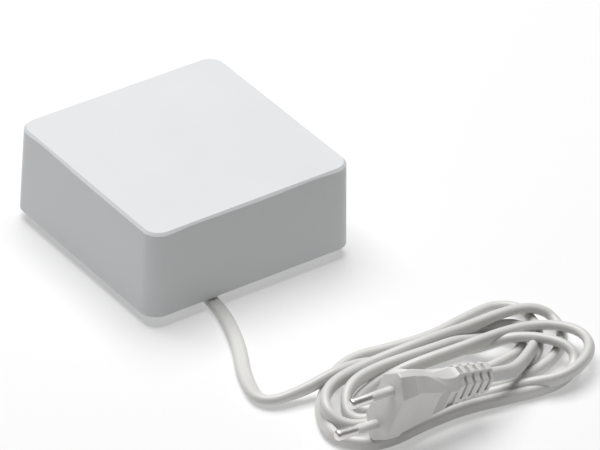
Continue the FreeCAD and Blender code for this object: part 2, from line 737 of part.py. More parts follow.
# Route of the cord from the gland's sleeve to the hank, then from the plug back to the hank
LEAD_POINTS = [
    gland_point(-SLEEVE_LENGTH),
    gland_point(-SLEEVE_LENGTH - 5.3),
    Vec(-18.6, -52.5, 1.9),
    Vec(-21.4, -62.5, 1.9),
    Vec(-26.8, -76.0, 1.9),
    Vec(-35.8, -91.5, 1.9),
    Vec(-41.4, -111.0, 1.9),
    Vec(-24.0, -113.6, 1.9),
    Vec(-10.0, -113.0, 1.9),
]


def make_cord_lead(hank):
    return flat_tube(LEAD_POINTS, "lead").cut(hank)


def make_cord_hank():
    """The outer shape of the loose hank: a long ring, one strand high where the plug lies on it."""
    width = HANK_RIGHT - HANK_LEFT
    depth = HANK_FAR - HANK_NEAR
    x = (HANK_RIGHT + HANK_LEFT) / 2
    y = (HANK_FAR + HANK_NEAR) / 2
    outer = prism(rectangle(width, depth, depth * 0.45, 0, x, y), HANK_HEIGHT)
    inner_depth = depth - 2 * HANK_BAND
    inner = prism(rectangle(width - 2 * HANK_BAND, inner_depth, inner_depth * 0.45, 0, x, y),
                  HANK_HEIGHT)
    ring = outer.cut(inner)
    step = box_between((HANK_PLUG_LEFT, HANK_NEAR - 1, HANK_LAYER),
                       (HANK_PLUG_RIGHT, y, HANK_HEIGHT + 1))
    return ring.cut(step)


def to_plug(shape):
    """Moves a shape from the plug's own frame, whose pins point to +X, to its place."""
    turn = FreeCAD.Rotation(PLUG_YAW, PLUG_PITCH, PLUG_ROLL)
    moved = shape.copy()
    moved.Placement = FreeCAD.Placement(PLUG_FACE, turn).multiply(moved.Placement)
    return moved


def plug_section(x, half_width, half_flat, half_thickness, half_end):
    """One section of the plug: a hexagon whose two points are blunt."""
    outline = [
        (half_thickness, -half_flat), (half_thickness, half_flat), (half_end, half_width),
        (-half_end, half_width), (-half_thickness, half_flat), (-half_thickness, -half_flat),
        (-half_end, -half_width), (half_end, -half_width),
    ]
    points = [Vec(x, y, z) for y, z in outline]
    return rounded_outline(points, PLUG_EDGE_RADIUS)


def make_plug_body():
    """The moulded plug: a six-sided body that narrows to a slotted strain relief."""
    half = PLUG_HALF_WIDTH
    thick = PLUG_HALF_THICKNESS
    taper = PLUG_RIM_TAPER
    front = Part.makeLoft([
        plug_section(0, half, half - PLUG_POINT_SLOPE, thick, PLUG_POINT_BLUNT),
        plug_section(-PLUG_RIM, half - taper, half - taper / 2 - PLUG_POINT_SLOPE, thick,
                     PLUG_POINT_BLUNT + PLUG_RIM_STEP),
    ], True, True)
    root = plug_section(-PLUG_BODY_LENGTH, RELIEF_HEIGHT / 2, RELIEF_HEIGHT / 2 - RELIEF_CORNER,
                        RELIEF_THICKNESS / 2, RELIEF_THICKNESS / 2 - RELIEF_CORNER)
    tip = plug_section(-PLUG_LENGTH, RELIEF_TIP_HEIGHT / 2,
                       RELIEF_TIP_HEIGHT / 2 - RELIEF_TIP_CORNER, RELIEF_TIP_THICKNESS / 2,
                       RELIEF_TIP_THICKNESS / 2 - RELIEF_TIP_CORNER)
    sections = [
        plug_section(1 - PLUG_RIM, half - taper - PLUG_RIM_STEP, half - taper - PLUG_POINT_SLOPE,
                     thick - PLUG_RIM_STEP, PLUG_POINT_BLUNT + PLUG_RIM_STEP),
    ]
    for back, narrower, flatter, thinner, blunt in PLUG_SECTIONS:
        sections.append(plug_section(-back, half - narrower, half - flatter, thick - thinner, blunt))
    body = Part.makeLoft(sections + [root], True, False)
    relief = Part.makeLoft([root, tip], True, True)
    plug = fused([front, body, relief])
    cuts = []
    side_low = RELIEF_THICKNESS / 2 - RELIEF_SLOT_DEPTH
    edge_low = RELIEF_HEIGHT / 2 - RELIEF_SLOT_DEPTH
    past = 2 * RELIEF_SLOT_DEPTH
    for index in range(RELIEF_SLOTS):
        x = -PLUG_BODY_LENGTH - RELIEF_FIRST_SLOT - index * RELIEF_SLOT_PITCH
        wide = RELIEF_HEIGHT / 2 - RELIEF_SLOT_MARGIN - RELIEF_SLOT_SHRINK * index
        for side in (-1, 1):
            y_ends = sorted((side * side_low, side * (side_low + past)))
            cuts.append(box_between((x - RELIEF_SLOT, y_ends[0], -wide),
                                    (x, y_ends[1], wide - 2 * RELIEF_SLOT_MARGIN)))
            z_ends = sorted((side * edge_low, side * (edge_low + past)))
            cuts.append(box_between((x - RELIEF_SLOT, -RELIEF_EDGE_SLOT, z_ends[0]),
                                    (x, RELIEF_EDGE_SLOT, z_ends[1])))
    for side in (-1, 1):
        cuts.append(plug_pin_cylinder(side, PIN_SLEEVE_RADIUS, -PIN_ROOT, PIN_ROOT + 1))
    for cut in cuts:
        plug = plug.cut(cut)
    return to_plug(plug)


def plug_pin_cylinder(side, radius, start, length):
    """A cylinder on one pin's axis, which leans in towards the other pin's."""
    lean = (PIN_BASE_SPACING - PIN_TIP_SPACING) / 2 / PIN_LENGTH
    direction = Vec(1, 0, -side * lean).normalize()
    foot = Vec(0, 0, side * PIN_BASE_SPACING / 2) + direction * start
    return Part.makeCylinder(radius, length, foot, direction)


def make_plug_pins():
    """Two brass pins: a thin stem inside the sleeve and a bare end with a round tip."""
    pins = []
    for side in (-1, 1):
        stem = plug_pin_cylinder(side, PIN_CORE_RADIUS, -PIN_ROOT, PIN_ROOT + PIN_SLEEVE_LENGTH)
        bare = plug_pin_cylinder(side, PIN_RADIUS, PIN_SLEEVE_LENGTH,
                                 PIN_LENGTH - PIN_SLEEVE_LENGTH)
        tip = [edge for edge in bare.Edges if edge.BoundBox.XMin > PIN_LENGTH - 0.5]
        pins.append(to_plug(fused([stem, bare.makeFillet(1.2, tip)])))
    return Part.makeCompound(pins)


def make_pin_sleeves():
    sleeves = []
    for side in (-1, 1):
        outer = plug_pin_cylinder(side, PIN_SLEEVE_RADIUS, -PIN_ROOT, PIN_ROOT + PIN_SLEEVE_LENGTH)
        bore = plug_pin_cylinder(side, PIN_CORE_RADIUS, -PIN_ROOT, PIN_ROOT + PIN_SLEEVE_LENGTH)
        sleeves.append(to_plug(outer.cut(bore)))
    return Part.makeCompound(sleeves)


def make_cord_tail(hank):
    """The last stretch, from the plug's strain relief down to the hank."""
    turn = FreeCAD.Rotation(PLUG_YAW, PLUG_PITCH, PLUG_ROLL)
    start = PLUG_FACE + turn.multVec(Vec(-PLUG_LENGTH, 0, 0))
    straight = PLUG_FACE + turn.multVec(Vec(-PLUG_LENGTH - TAIL_STRAIGHT, 0, 0))
    points = [start, straight, Vec(50.0, -150.2, 9.7), Vec(60.0, -150.0, 7.0)]
    return flat_tube(points, "tail").cut(hank)


def make_grommet():
    """The strain relief moulded on the cord: a collar each side of the gland wall and a taper."""
    def level_oval(width, height, y):
        face = oval_prism(width, height, 1.0).Faces
        wire = max(face, key=lambda item: item.CenterOfMass.y).OuterWire.copy()
        wire.translate(Vec(0, y, 0))
        return wire
    taper = Part.makeLoft([
        level_oval(SLEEVE_ROOT_WIDTH, SLEEVE_ROOT_HEIGHT, -COLLAR_THICKNESS),
        level_oval(SLEEVE_TIP_WIDTH, SLEEVE_TIP_HEIGHT, -SLEEVE_LENGTH),
    ], True, True)
    neck = oval_prism(SLEEVE_ROOT_WIDTH, SLEEVE_ROOT_HEIGHT, GLAND_WALL)
    neck.translate(Vec(0, GLAND_WALL, 0))
    pieces = [taper, neck]
    for y in (0.0, GLAND_WALL + COLLAR_THICKNESS):
        collar = oval_prism(SLEEVE_ROOT_WIDTH + 2 * COLLAR_OVER,
                            SLEEVE_ROOT_HEIGHT + 2 * COLLAR_OVER, COLLAR_THICKNESS)
        collar.translate(Vec(0, y, 0))
        pieces.append(collar)
    return to_gland(fused(pieces))


def make_cord_sheath():
    """The sheathed cord inside the housing, from the grommet through the clamp."""
    start = GLAND_WALL + COLLAR_THICKNESS
    end = clamp_span()[1] + 1.0
    stub = oval_prism(CORD_WIDTH, CORD_THICKNESS, end - start)
    stub.translate(Vec(0, end, 0))
    return to_gland(stub)


def make_cord_clamp():
    """The bar that two screws pull down on the cord."""
    start, end = clamp_span()
    low = CLAMP_GAP / 2
    bar = box_between((-CLAMP_WIDTH / 2, start, low), (CLAMP_WIDTH / 2, end, low + CLAMP_THICKNESS))
    groove = oval_prism(CORD_WIDTH + 2 * GLAND_CLEARANCE, CORD_THICKNESS + 2 * GLAND_CLEARANCE,
                        CLAMP_DEPTH + 2)
    groove.translate(Vec(0, end + 1, 0))
    bar = bar.cut(groove)
    for x, y in clamp_screw_places():
        bar = bar.cut(cylinder(SCREW_CLEARANCE_RADIUS, CLAMP_THICKNESS + 1, x, y, 0))
    return to_gland(bar)


def make_clamp_screws():
    head_z = CLAMP_GAP / 2 + CLAMP_THICKNESS
    length = head_z + CLAMP_SCREW_LENGTH - 0.5
    return Part.makeCompound([
        to_gland(screw(x, y, head_z, length, UP * -1)) for x, y in clamp_screw_places()
    ])


def make_supply_wire(side):
    """One insulated wire from the cord's sheath up into the mains terminal."""
    radius = WIRE_DIAMETER / 2
    end = clamp_span()[1] + 1.0
    offset = Vec(side * (radius + WIRE_GAP / 2), 0, 0)
    start = gland_point(end) + offset
    x = MAINS_TERMINAL[0] + side * WIRE_SPREAD
    entry = Vec(x, MAINS_TERMINAL[1] - TERMINAL_DEPTH / 2, BOARD_TOP + TERMINAL_HOLE_LIFT)
    ahead = gland_point(end + WIRE_STRAIGHT) - gland_point(end)
    points = [
        start,
        start + ahead,
        Vec(x, start.y + WIRE_ELBOW_RUN, entry.z - WIRE_ELBOW_DROP),
        Vec(x, entry.y - WIRE_ENTRY_RUN, entry.z),
        entry + Vec(0, WIRE_ENTRY_DEPTH, 0),
    ]
    return round_tube(points, radius)


def build():
    hank = make_cord_hank()
    parts = {
        "cover": make_cover(),
        "base": make_base(),
        "cover_screws": make_cover_screws(),
        "rubber_feet": make_rubber_feet(),
        "circuit_board": make_circuit_board(),
        "board_screws": make_board_screws(),
        "transformer_core": make_transformer_core(),
        "transformer_winding": make_transformer_winding(),
        "mains_terminal": terminal_block(MAINS_TERMINAL, 2),
        "output_terminal": terminal_block(OUTPUT_TERMINAL, 3),
        "fuse": make_fuse(),
        "varistor": make_varistor(),
        "filter_capacitor": make_filter_capacitor(),
        "bridge_rectifier": make_bridge_rectifier(),
        "mains_capacitor": capacitor(MAINS_CAPACITOR, MAINS_CAN_RADIUS, MAINS_CAN_HEIGHT),
        "output_capacitors": Part.makeCompound([
            capacitor(place, OUTPUT_CAN_RADIUS, OUTPUT_CAN_HEIGHT) for place in OUTPUT_CAPACITORS
        ]),
        "motor_relays": make_relays(),
        "controller_chip": make_controller_chip(),
        "radio_board": make_radio_board(),
        "radio_shield": make_radio_shield(),
        "antenna": make_antenna(),
        "cord_grommet": make_grommet(),
        "cord_sheath": make_cord_sheath(),
        "cord_clamp": make_cord_clamp(),
        "clamp_screws": make_clamp_screws(),
        "live_wire": make_supply_wire(-1),
        "neutral_wire": make_supply_wire(1),
        "cord_lead": make_cord_lead(hank),
        "cord_hank": hank,
        "cord_tail": make_cord_tail(hank),
        "plug_body": make_plug_body(),
        "plug_pins": make_plug_pins(),
        "pin_sleeves": make_pin_sleeves(),
    }
    os.makedirs("parts", exist_ok=True)
    for name, shape in parts.items():
        shape.exportStep("parts/" + name + ".step")
        print(name, "solids", len(shape.Solids), "valid", shape.isValid(),
              "volume", round(shape.Volume, 1))


build()
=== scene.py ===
import math

import bmesh
import bpy
import numpy as np
from mathutils import Euler, Matrix, Vector


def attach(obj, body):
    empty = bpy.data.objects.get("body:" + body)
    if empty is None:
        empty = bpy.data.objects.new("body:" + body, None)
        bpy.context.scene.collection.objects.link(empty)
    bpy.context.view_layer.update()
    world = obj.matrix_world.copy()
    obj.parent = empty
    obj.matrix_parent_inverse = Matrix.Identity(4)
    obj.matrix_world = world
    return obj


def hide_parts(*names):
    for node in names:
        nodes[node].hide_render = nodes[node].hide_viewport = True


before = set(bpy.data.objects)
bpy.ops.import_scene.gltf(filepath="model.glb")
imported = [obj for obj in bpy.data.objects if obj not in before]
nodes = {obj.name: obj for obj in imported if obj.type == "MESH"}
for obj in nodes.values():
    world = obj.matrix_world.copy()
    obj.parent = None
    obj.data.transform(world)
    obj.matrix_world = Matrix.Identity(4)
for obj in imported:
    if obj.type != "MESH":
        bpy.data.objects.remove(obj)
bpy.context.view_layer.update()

# Base. The recessed tray that closes the housing from below and carries everything inside it.
# Injection-moulded pale grey plastic with a fine spark-eroded texture, screwed up into the cover.
BASE_GREY = (0.62, 0.63, 0.64)
PLASTIC_IOR = 1.49
CLOUDS_PER_METRE = 38.0
CLOUD_DETAIL = 3.0
PLASTIC_GLOSS_SPREAD = 0.12
GRAIN_DETAIL = 2.0
GRAIN_STRENGTH = 0.08


def moulded_plastic(name, colour, roughness, grain_size, grain_depth, mottle=0.03):
    """A moulded plastic: faint cloudiness in the colour, uneven gloss and a fine eroded grain."""
    material = bpy.data.materials.new(name)
    material.use_nodes = True
    tree = material.node_tree
    link = tree.links.new
    shader = tree.nodes["Principled BSDF"]
    shader.inputs["IOR"].default_value = PLASTIC_IOR
    place = tree.nodes.new("ShaderNodeTexCoord")

    cloud = tree.nodes.new("ShaderNodeTexNoise")
    cloud.inputs["Scale"].default_value = CLOUDS_PER_METRE
    cloud.inputs["Detail"].default_value = CLOUD_DETAIL
    link(place.outputs["Object"], cloud.inputs["Vector"])
    tint = tree.nodes.new("ShaderNodeMix")
    tint.data_type = "RGBA"
    tint.inputs["A"].default_value = (*[c * (1 - mottle) for c in colour], 1)
    tint.inputs["B"].default_value = (*[min(1, c * (1 + mottle)) for c in colour], 1)
    link(cloud.outputs["Fac"], tint.inputs["Factor"])
    link(tint.outputs["Result"], shader.inputs["Base Color"])

    gloss = tree.nodes.new("ShaderNodeMapRange")
    gloss.inputs["To Min"].default_value = roughness * (1 - PLASTIC_GLOSS_SPREAD)
    gloss.inputs["To Max"].default_value = roughness * (1 + PLASTIC_GLOSS_SPREAD)
    link(cloud.outputs["Fac"], gloss.inputs["Value"])
    link(gloss.outputs["Result"], shader.inputs["Roughness"])

    grain = tree.nodes.new("ShaderNodeTexNoise")
    grain.inputs["Scale"].default_value = 1 / grain_size
    grain.inputs["Detail"].default_value = GRAIN_DETAIL
    link(place.outputs["Object"], grain.inputs["Vector"])
    bump = tree.nodes.new("ShaderNodeBump")
    bump.inputs["Strength"].default_value = GRAIN_STRENGTH
    bump.inputs["Distance"].default_value = grain_depth
    link(grain.outputs["Fac"], bump.inputs["Height"])
    link(bump.outputs["Normal"], shader.inputs["Normal"])
    return material


def dress(names, material):
    """Gives the named nodes their finish."""
    for name in names:
        for place in nodes[name].material_slots:
            place.material = material


base_plastic = moulded_plastic("base_plastic", BASE_GREY, roughness=0.5,
                               grain_size=0.0006, grain_depth=0.00004)
dress(["base"], base_plastic)

# Feet. Four round pads of dark matt rubber, pressed into shallow wells under the base so that the
# unit stands still on a shelf.
FOOT_RUBBER = (0.045, 0.045, 0.048)
foot_rubber = moulded_plastic("foot_rubber", FOOT_RUBBER, roughness=0.85,
                              grain_size=0.0009, grain_depth=0.00008, mottle=0.08)
dress(["rubber_feet"], foot_rubber)

# Circuit board. Glass-fibre board in green solder resist with its copper tracks just showing
# through, dropped over the base's bosses.
RESIST_GREEN = (0.008, 0.075, 0.032)
TRACK_GREEN = (0.022, 0.15, 0.065)
TRACK_PITCH = 0.0042
TRACK_WIDTH = 0.1
TRACK_BLUR = 0.2
DARKER_FIELD = 0.8


def board_laminate(name, resist, track, pitch):
    """Solder resist over a net of tracks, which show through as lighter lines."""
    material = moulded_plastic(name, resist, roughness=0.3, grain_size=0.0007,
                               grain_depth=0.00001)
    tree = material.node_tree
    place = tree.nodes["Texture Coordinate"]
    shader = tree.nodes["Principled BSDF"]
    net = tree.nodes.new("ShaderNodeTexBrick")
    net.inputs["Scale"].default_value = 1 / pitch
    net.inputs["Mortar Size"].default_value = TRACK_WIDTH
    net.inputs["Mortar Smooth"].default_value = TRACK_BLUR
    net.inputs["Color1"].default_value = (*resist, 1)
    net.inputs["Color2"].default_value = (*[c * DARKER_FIELD for c in resist], 1)
    net.inputs["Mortar"].default_value = (*track, 1)
    tree.links.new(place.outputs["Object"], net.inputs["Vector"])
    tree.links.new(net.outputs["Color"], shader.inputs["Base Color"])
    return material


laminate = board_laminate("board_laminate", RESIST_GREEN, TRACK_GREEN, TRACK_PITCH)
dress(["circuit_board", "radio_board"], laminate)

# Screws. Pan-head screws of zinc-plated steel: four up into the cover, four that hold the board
# down and two that close the clamp on the cord.
ZINC = (0.60, 0.61, 0.63)
MARK_DETAIL = 3.0
METAL_GLOSS_SPREAD = 0.25


def bare_metal(name, colour, roughness, grain_size, mottle=0.06):
    """Bare or plated metal: a soft unevenness in its colour and fine marks in its gloss."""
    material = bpy.data.materials.new(name)
    material.use_nodes = True
    tree = material.node_tree
    link = tree.links.new
    shader = tree.nodes["Principled BSDF"]
    shader.inputs["Metallic"].default_value = 1.0
    place = tree.nodes.new("ShaderNodeTexCoord")
    marks = tree.nodes.new("ShaderNodeTexNoise")
    marks.inputs["Scale"].default_value = 1 / grain_size
    marks.inputs["Detail"].default_value = MARK_DETAIL
    link(place.outputs["Object"], marks.inputs["Vector"])
    tint = tree.nodes.new("ShaderNodeMix")
    tint.data_type = "RGBA"
    tint.inputs["A"].default_value = (*[c * (1 - mottle) for c in colour], 1)
    tint.inputs["B"].default_value = (*[min(1, c * (1 + mottle)) for c in colour], 1)
    link(marks.outputs["Fac"], tint.inputs["Factor"])
    link(tint.outputs["Result"], shader.inputs["Base Color"])
    gloss = tree.nodes.new("ShaderNodeMapRange")
    gloss.inputs["To Min"].default_value = roughness * (1 - METAL_GLOSS_SPREAD)
    gloss.inputs["To Max"].default_value = roughness * (1 + METAL_GLOSS_SPREAD)
    link(marks.outputs["Fac"], gloss.inputs["Value"])
    link(gloss.outputs["Result"], shader.inputs["Roughness"])
    return material


zinc_plate = bare_metal("zinc_plate", ZINC, roughness=0.34, grain_size=0.0008)
dress(["board_screws", "clamp_screws", "cover_screws"], zinc_plate)

# Transformer. A dark ferrite core round a bobbin whose winding is wrapped in yellow polyester tape,
# lapped turn over turn.
FERRITE = (0.018, 0.018, 0.02)
TAPE_YELLOW = (0.62, 0.42, 0.03)
TAPE_LAP = 0.0016
LAP_STEP = 0.35
# At a scale of one, the wave texture repeats its bands at this distance.
BAND_SPACING = 0.31
ferrite = moulded_plastic("ferrite", FERRITE, roughness=0.62, grain_size=0.0005,
                          grain_depth=0.00006, mottle=0.15)
dress(["transformer_core"], ferrite)


def lapped_tape(name, colour, lap):
    """Glossy tape whose laps show as fine steps round the winding."""
    material = moulded_plastic(name, colour, roughness=0.22, grain_size=0.0009,
                               grain_depth=0.00001)
    tree = material.node_tree
    laps = tree.nodes.new("ShaderNodeTexWave")
    laps.wave_profile = "SAW"
    laps.bands_direction = "Z"
    laps.inputs["Scale"].default_value = BAND_SPACING / lap
    tree.links.new(tree.nodes["Texture Coordinate"].outputs["Object"], laps.inputs["Vector"])
    step = tree.nodes["Bump"]
    step.inputs["Strength"].default_value = LAP_STEP
    tree.links.new(laps.outputs["Fac"], step.inputs["Height"])
    return material


dress(["transformer_winding"], lapped_tape("coil_tape", TAPE_YELLOW, TAPE_LAP))

# Terminals. Two screw terminals in green moulded plastic, soldered at the board's edges, one for
# the mains and one for the low-voltage output.
TERMINAL_GREEN = (0.015, 0.17, 0.05)
terminal_plastic = moulded_plastic("terminal_plastic", TERMINAL_GREEN, roughness=0.42,
                                   grain_size=0.0006, grain_depth=0.00003)
dress(["mains_terminal", "output_terminal"], terminal_plastic)

# Mains input parts. A black round fuse, a varistor dipped in blue epoxy, a moulded yellow film
# capacitor and a black bridge rectifier, all soldered between the terminal and the transformer.
FUSE_BLACK = (0.012, 0.012, 0.013)
EPOXY_BLUE = (0.01, 0.04, 0.20)
FILM_YELLOW = (0.66, 0.40, 0.02)
CHIP_BLACK = (0.010, 0.010, 0.011)
fuse_black = moulded_plastic("fuse_black", FUSE_BLACK, roughness=0.38, grain_size=0.0006,
                             grain_depth=0.00002)
dress(["fuse"], fuse_black)
dipped_epoxy = moulded_plastic("dipped_epoxy", EPOXY_BLUE, roughness=0.2, grain_size=0.0025,
                               grain_depth=0.00012)
dress(["varistor"], dipped_epoxy)
film_case = moulded_plastic("film_case", FILM_YELLOW, roughness=0.32, grain_size=0.0006,
                            grain_depth=0.00002)
dress(["filter_capacitor"], film_case)
chip_epoxy = moulded_plastic("chip_epoxy", CHIP_BLACK, roughness=0.55, grain_size=0.0003,
                             grain_depth=0.00002, mottle=0.1)
dress(["bridge_rectifier"], chip_epoxy)

# Smoothing capacitors. Aluminium cans in dark heat-shrunk sleeves, a large one for the mains side
# and smaller ones for the output.
SLEEVE_DARK = (0.012, 0.014, 0.028)
can_sleeve = moulded_plastic("can_sleeve", SLEEVE_DARK, roughness=0.24, grain_size=0.003,
                             grain_depth=0.00005, mottle=0.1)
dress(["mains_capacitor", "output_capacitors"], can_sleeve)

# Relays and controller. Two relays in sealed black cases that run the motor one way or the other,
# and the flat black chip that switches them, soldered down by its rows of legs.
RELAY_BLACK = (0.014, 0.014, 0.016)
relay_case = moulded_plastic("relay_case", RELAY_BLACK, roughness=0.46, grain_size=0.0005,
                             grain_depth=0.00003)
dress(["motor_relays"], relay_case)
dress(["controller_chip"], chip_epoxy)

# Radio. A small board of its own with a folded tinned-steel can over its chip and a bare copper
# wire for an antenna.
TINNED = (0.71, 0.71, 0.70)
COPPER = (0.72, 0.36, 0.20)
dress(["radio_shield"], bare_metal("tinned_steel", TINNED, roughness=0.28, grain_size=0.0012))
dress(["antenna"], bare_metal("bare_copper", COPPER, roughness=0.3, grain_size=0.001))

# Cord anchorage. A grey plastic bridge screwed down over the cord just inside the wall, and the
# cord's two copper cores, in brown and blue plastic, that run on from it to the mains terminal.
CORE_BROWN = (0.075, 0.028, 0.012)
CORE_BLUE = (0.02, 0.07, 0.34)
dress(["cord_clamp"], base_plastic)
for core, name, colour in (("live_wire", "core_brown", CORE_BROWN),
                           ("neutral_wire", "core_blue", CORE_BLUE)):
    dress([core], moulded_plastic(name, colour, roughness=0.4, grain_size=0.001,
                                  grain_depth=0.00002))

# Cord. Flat two-core mains cord, 5.7 by 3.7 mm, in soft off-white sheath, whole from end to end.
# It lies flat as far as its first bend, then turns on edge through a loose hank to the plug.
CORD_WIDTH = 0.0057
CORD_THICKNESS = 0.0037
CORD_SIDES = 28
CORD_SMOOTHNESS = 8
ON_EDGE = 90.0

# Each point is x, y, z and the cord's roll in degrees, 0 with its broad side level.
LEAD = [
    (-0.0175, -0.03855, 0.00298, 0),
    (-0.0175, -0.0438, 0.0019, 0),
    (-0.0184, -0.0525, 0.0019, 0),
    (-0.0212, -0.0625, 0.0019, 0),
    (-0.0266, -0.0760, 0.0019, 0),
    (-0.0356, -0.0915, 0.0019, 0),
    (-0.0406, -0.1095, 0.0024, 30),
    (-0.0240, -0.1132, 0.0044, 70),
    (-0.0130, -0.1144, 0.0080, 80),
    (0.0010, -0.1130, 0.0062, 88),
    (0.0120, -0.1138, 0.0036, 45),
    (0.0190, -0.1156, 0.0020, 0),
    (0.0260, -0.1180, 0.0020, 0),
    (0.0330, -0.1200, 0.0026, 50),
    (0.0400, -0.1222, 0.0034, 70),
]

# The angles, from far to near, at which the end of a turn has its points.
TURN_ANGLES = (90, 62, 36, 6, -26, -58, -90)


def turn_end(far, tip, near, squareness, heights, rolls=(ON_EDGE,) * len(TURN_ANGLES)):
    """One end of a turn: two quarter ovals from far by way of tip to near, as route points.

    With a squareness of 1 they are plain ellipses; below 1 they are fuller, above 1 flatter.
    """
    points = []
    for angle, height, roll in zip(TURN_ANGLES, heights, rolls):
        along = abs(math.cos(math.radians(angle)))
        across = abs(math.sin(math.radians(angle)))
        side, power = (far, squareness[0]) if angle > 0 else (near, squareness[1])
        x = side[0] + (tip[0] - side[0]) * along ** power
        y = tip[1] + (side[1] - tip[1]) * across ** power
        points.append((x, y, height, roll))
    return points


FLOOR_LAYER = (0.0027, 0.0026, 0.0026, 0.0027, 0.0029, 0.0030, 0.0030)
RIGHT_ROLLS = (56, 46, 42, 48, 70, 96, 100)

# The turns in the order they were laid: the run out to the right, the right end, the run back and
# the left end. A run is a list of x, y and z. An end has its far, tip and near places, how square
# its two ovals are, then the height and the roll at each of its points.
TURNS = [
    {
        "out": [],
        "right": ((0.0472, -0.1285), (0.0734, -0.1500), (0.054, -0.1592), (1.25, 1.0),
                  (0.0060, 0.0083, 0.0087, 0.0078, 0.0044, 0.0029, 0.0029), RIGHT_ROLLS),
        "back": [(0.040, -0.1565, 0.0029), (0.022, -0.1524, 0.0029), (0.004, -0.1520, 0.0029)],
        "left": ((0.004, -0.1047), (-0.0306, -0.1385), (-0.013, -0.1538), (1.25, 1.0),
                 (0.0029, 0.0030, 0.0027, 0.0028, 0.0030, 0.0029, 0.0029),
                 (90, 80, 50, 60, 90, 90, 90)),
    },
    {
        "out": [(0.020, -0.108, 0.0029), (0.036, -0.110, 0.0029), (0.050, -0.1082, 0.0029)],
        "right": ((0.065, -0.1056), (0.0775, -0.116), (0.050, -0.1465), (1.0, 1.12), FLOOR_LAYER,
                  RIGHT_ROLLS),
        "back": [(0.034, -0.1436, 0.0029), (0.016, -0.1390, 0.0029)],
        "left": ((0.006, -0.1240), (-0.0130, -0.1312), (-0.001, -0.1380), (0.95, 0.95),
                 (0.0055, 0.0036, 0.0029, 0.0029, 0.0029, 0.0029, 0.0029)),
    },
    {
        "out": [(0.020, -0.1272, 0.0087), (0.032, -0.1288, 0.0094), (0.044, -0.1300, 0.0100)],
        "right": ((0.0565, -0.1288), (0.0817, -0.1455), (0.059, -0.1615), (1.0, 1.0),
                  (0.0092, 0.0088, 0.0087, 0.0087, 0.0086, 0.0080, 0.0068), RIGHT_ROLLS),
        "back": [(0.047, -0.1552, 0.0046), (0.036, -0.1515, 0.0030), (0.020, -0.1478, 0.0029),
                 (0.004, -0.1456, 0.0029)],
        "left": ((0.0, -0.1179), (-0.0276, -0.1330), (-0.008, -0.1430), (0.95, 1.0),
                 (0.0087, 0.0092, 0.0090, 0.0080, 0.0046, 0.0029, 0.0029)),
    },
    {
        "out": [(0.012, -0.1186, 0.0096), (0.024, -0.1195, 0.0103), (0.036, -0.1190, 0.0095),
                (0.048, -0.1190, 0.0087)],
        "right": ((0.061, -0.1180), (0.0828, -0.1280), (0.050, -0.1500), (0.95, 1.08),
                  (0.0087, 0.0085, 0.0072, 0.0042, 0.0029, 0.0029, 0.0030), RIGHT_ROLLS),
        "back": [(0.036, -0.1478, 0.0029), (0.018, -0.1432, 0.0029), (0.005, -0.1415, 0.0029)],
        "left": ((0.002, -0.1216), (-0.0194, -0.1345), (-0.005, -0.1408), (1.0, 1.0),
                 (0.0087, 0.0087, 0.0076, 0.0042, 0.0029, 0.0029, 0.0029)),
    },
    {
        "out": [(0.014, -0.1225, 0.0091), (0.027, -0.1236, 0.0091), (0.0375, -0.1232, 0.0082),
                (0.0455, -0.1222, 0.0050)],
        "right": ((0.0535, -0.1215), (0.0642, -0.1300), (0.0495, -0.1372), (1.0, 1.0), FLOOR_LAYER,
                  RIGHT_ROLLS),
        "back": [(0.038, -0.1384, 0.0029)],
        "left": ((0.026, -0.1175), (0.0120, -0.1270), (0.026, -0.1355), (1.0, 1.0),
                 (0.0056, 0.0052, 0.0040, 0.0030, 0.0029, 0.0029, 0.0029),
                 (0, 45, 80, 90, 90, 90, 90)),
    },
]

# The last stretch: out to the right on the floor, round, and up to the plug's strain relief.
TAIL = [
    (0.034, -0.1163, 0.0048, 45),
    (0.043, -0.1156, 0.0031, 75),
    (0.056, -0.1160, 0.0027, 50),
    (0.066, -0.1176, 0.0027, 45),
    (0.0705, -0.1222, 0.0027, 48),
    (0.0695, -0.1290, 0.0034, 52),
    (0.0660, -0.1355, 0.0048, 64),
    (0.0612, -0.1405, 0.0068, 80),
    (0.0551, -0.1453, 0.0092, 84),
    (0.0486, -0.1498, 0.0106, 80),
    (0.0412, -0.1535, 0.0122, 76),
    (0.0342, -0.1552, 0.0149, 73),
    (0.0268, -0.1560, 0.0172, 72),
    (0.0205, -0.1565, 0.0186, 72),
]


def on_edge(points):
    """The points of a run with the cord standing on its narrow side."""
    return [(*point, ON_EDGE) for point in points]


# A right end is laid from far to near, and a left end back from near to far.
route = list(LEAD)
for turn in TURNS:
    route += on_edge(turn["out"]) + turn_end(*turn["right"])
    route += on_edge(turn["back"]) + turn_end(*turn["left"])[::-1]
route += TAIL


def route_line(points):
    """The smooth line that the route's points steer, as the curve itself gives it."""
    curve = bpy.data.curves.new("cord_line", "CURVE")
    curve.dimensions = "3D"
    curve.resolution_u = CORD_SMOOTHNESS
    spline = curve.splines.new("NURBS")
    spline.points.add(len(points) - 1)
    for place, point in zip(spline.points, points):
        place.co = (*point[:3], 1)
    spline.order_u = 3
    spline.use_endpoint_u = True
    holder = bpy.data.objects.new("cord_line", curve)
    bpy.context.scene.collection.objects.link(holder)
    bpy.context.view_layer.update()
    line = bpy.data.meshes.new_from_object(holder)
    places = [vertex.co.copy() for vertex in line.vertices]
    bpy.data.objects.remove(holder)
    bpy.data.curves.remove(curve)
    bpy.data.meshes.remove(line)
    return places


def roll_along(points, count):
    """The cord's roll at each place along its line, eased between the route's points."""
    middles = [0.0] + [index - 0.5 for index in range(1, len(points) - 1)] + [len(points) - 2.0]
    steps = np.linspace(0.0, len(points) - 2.0, count)
    return np.interp(steps, middles, [point[3] for point in points])


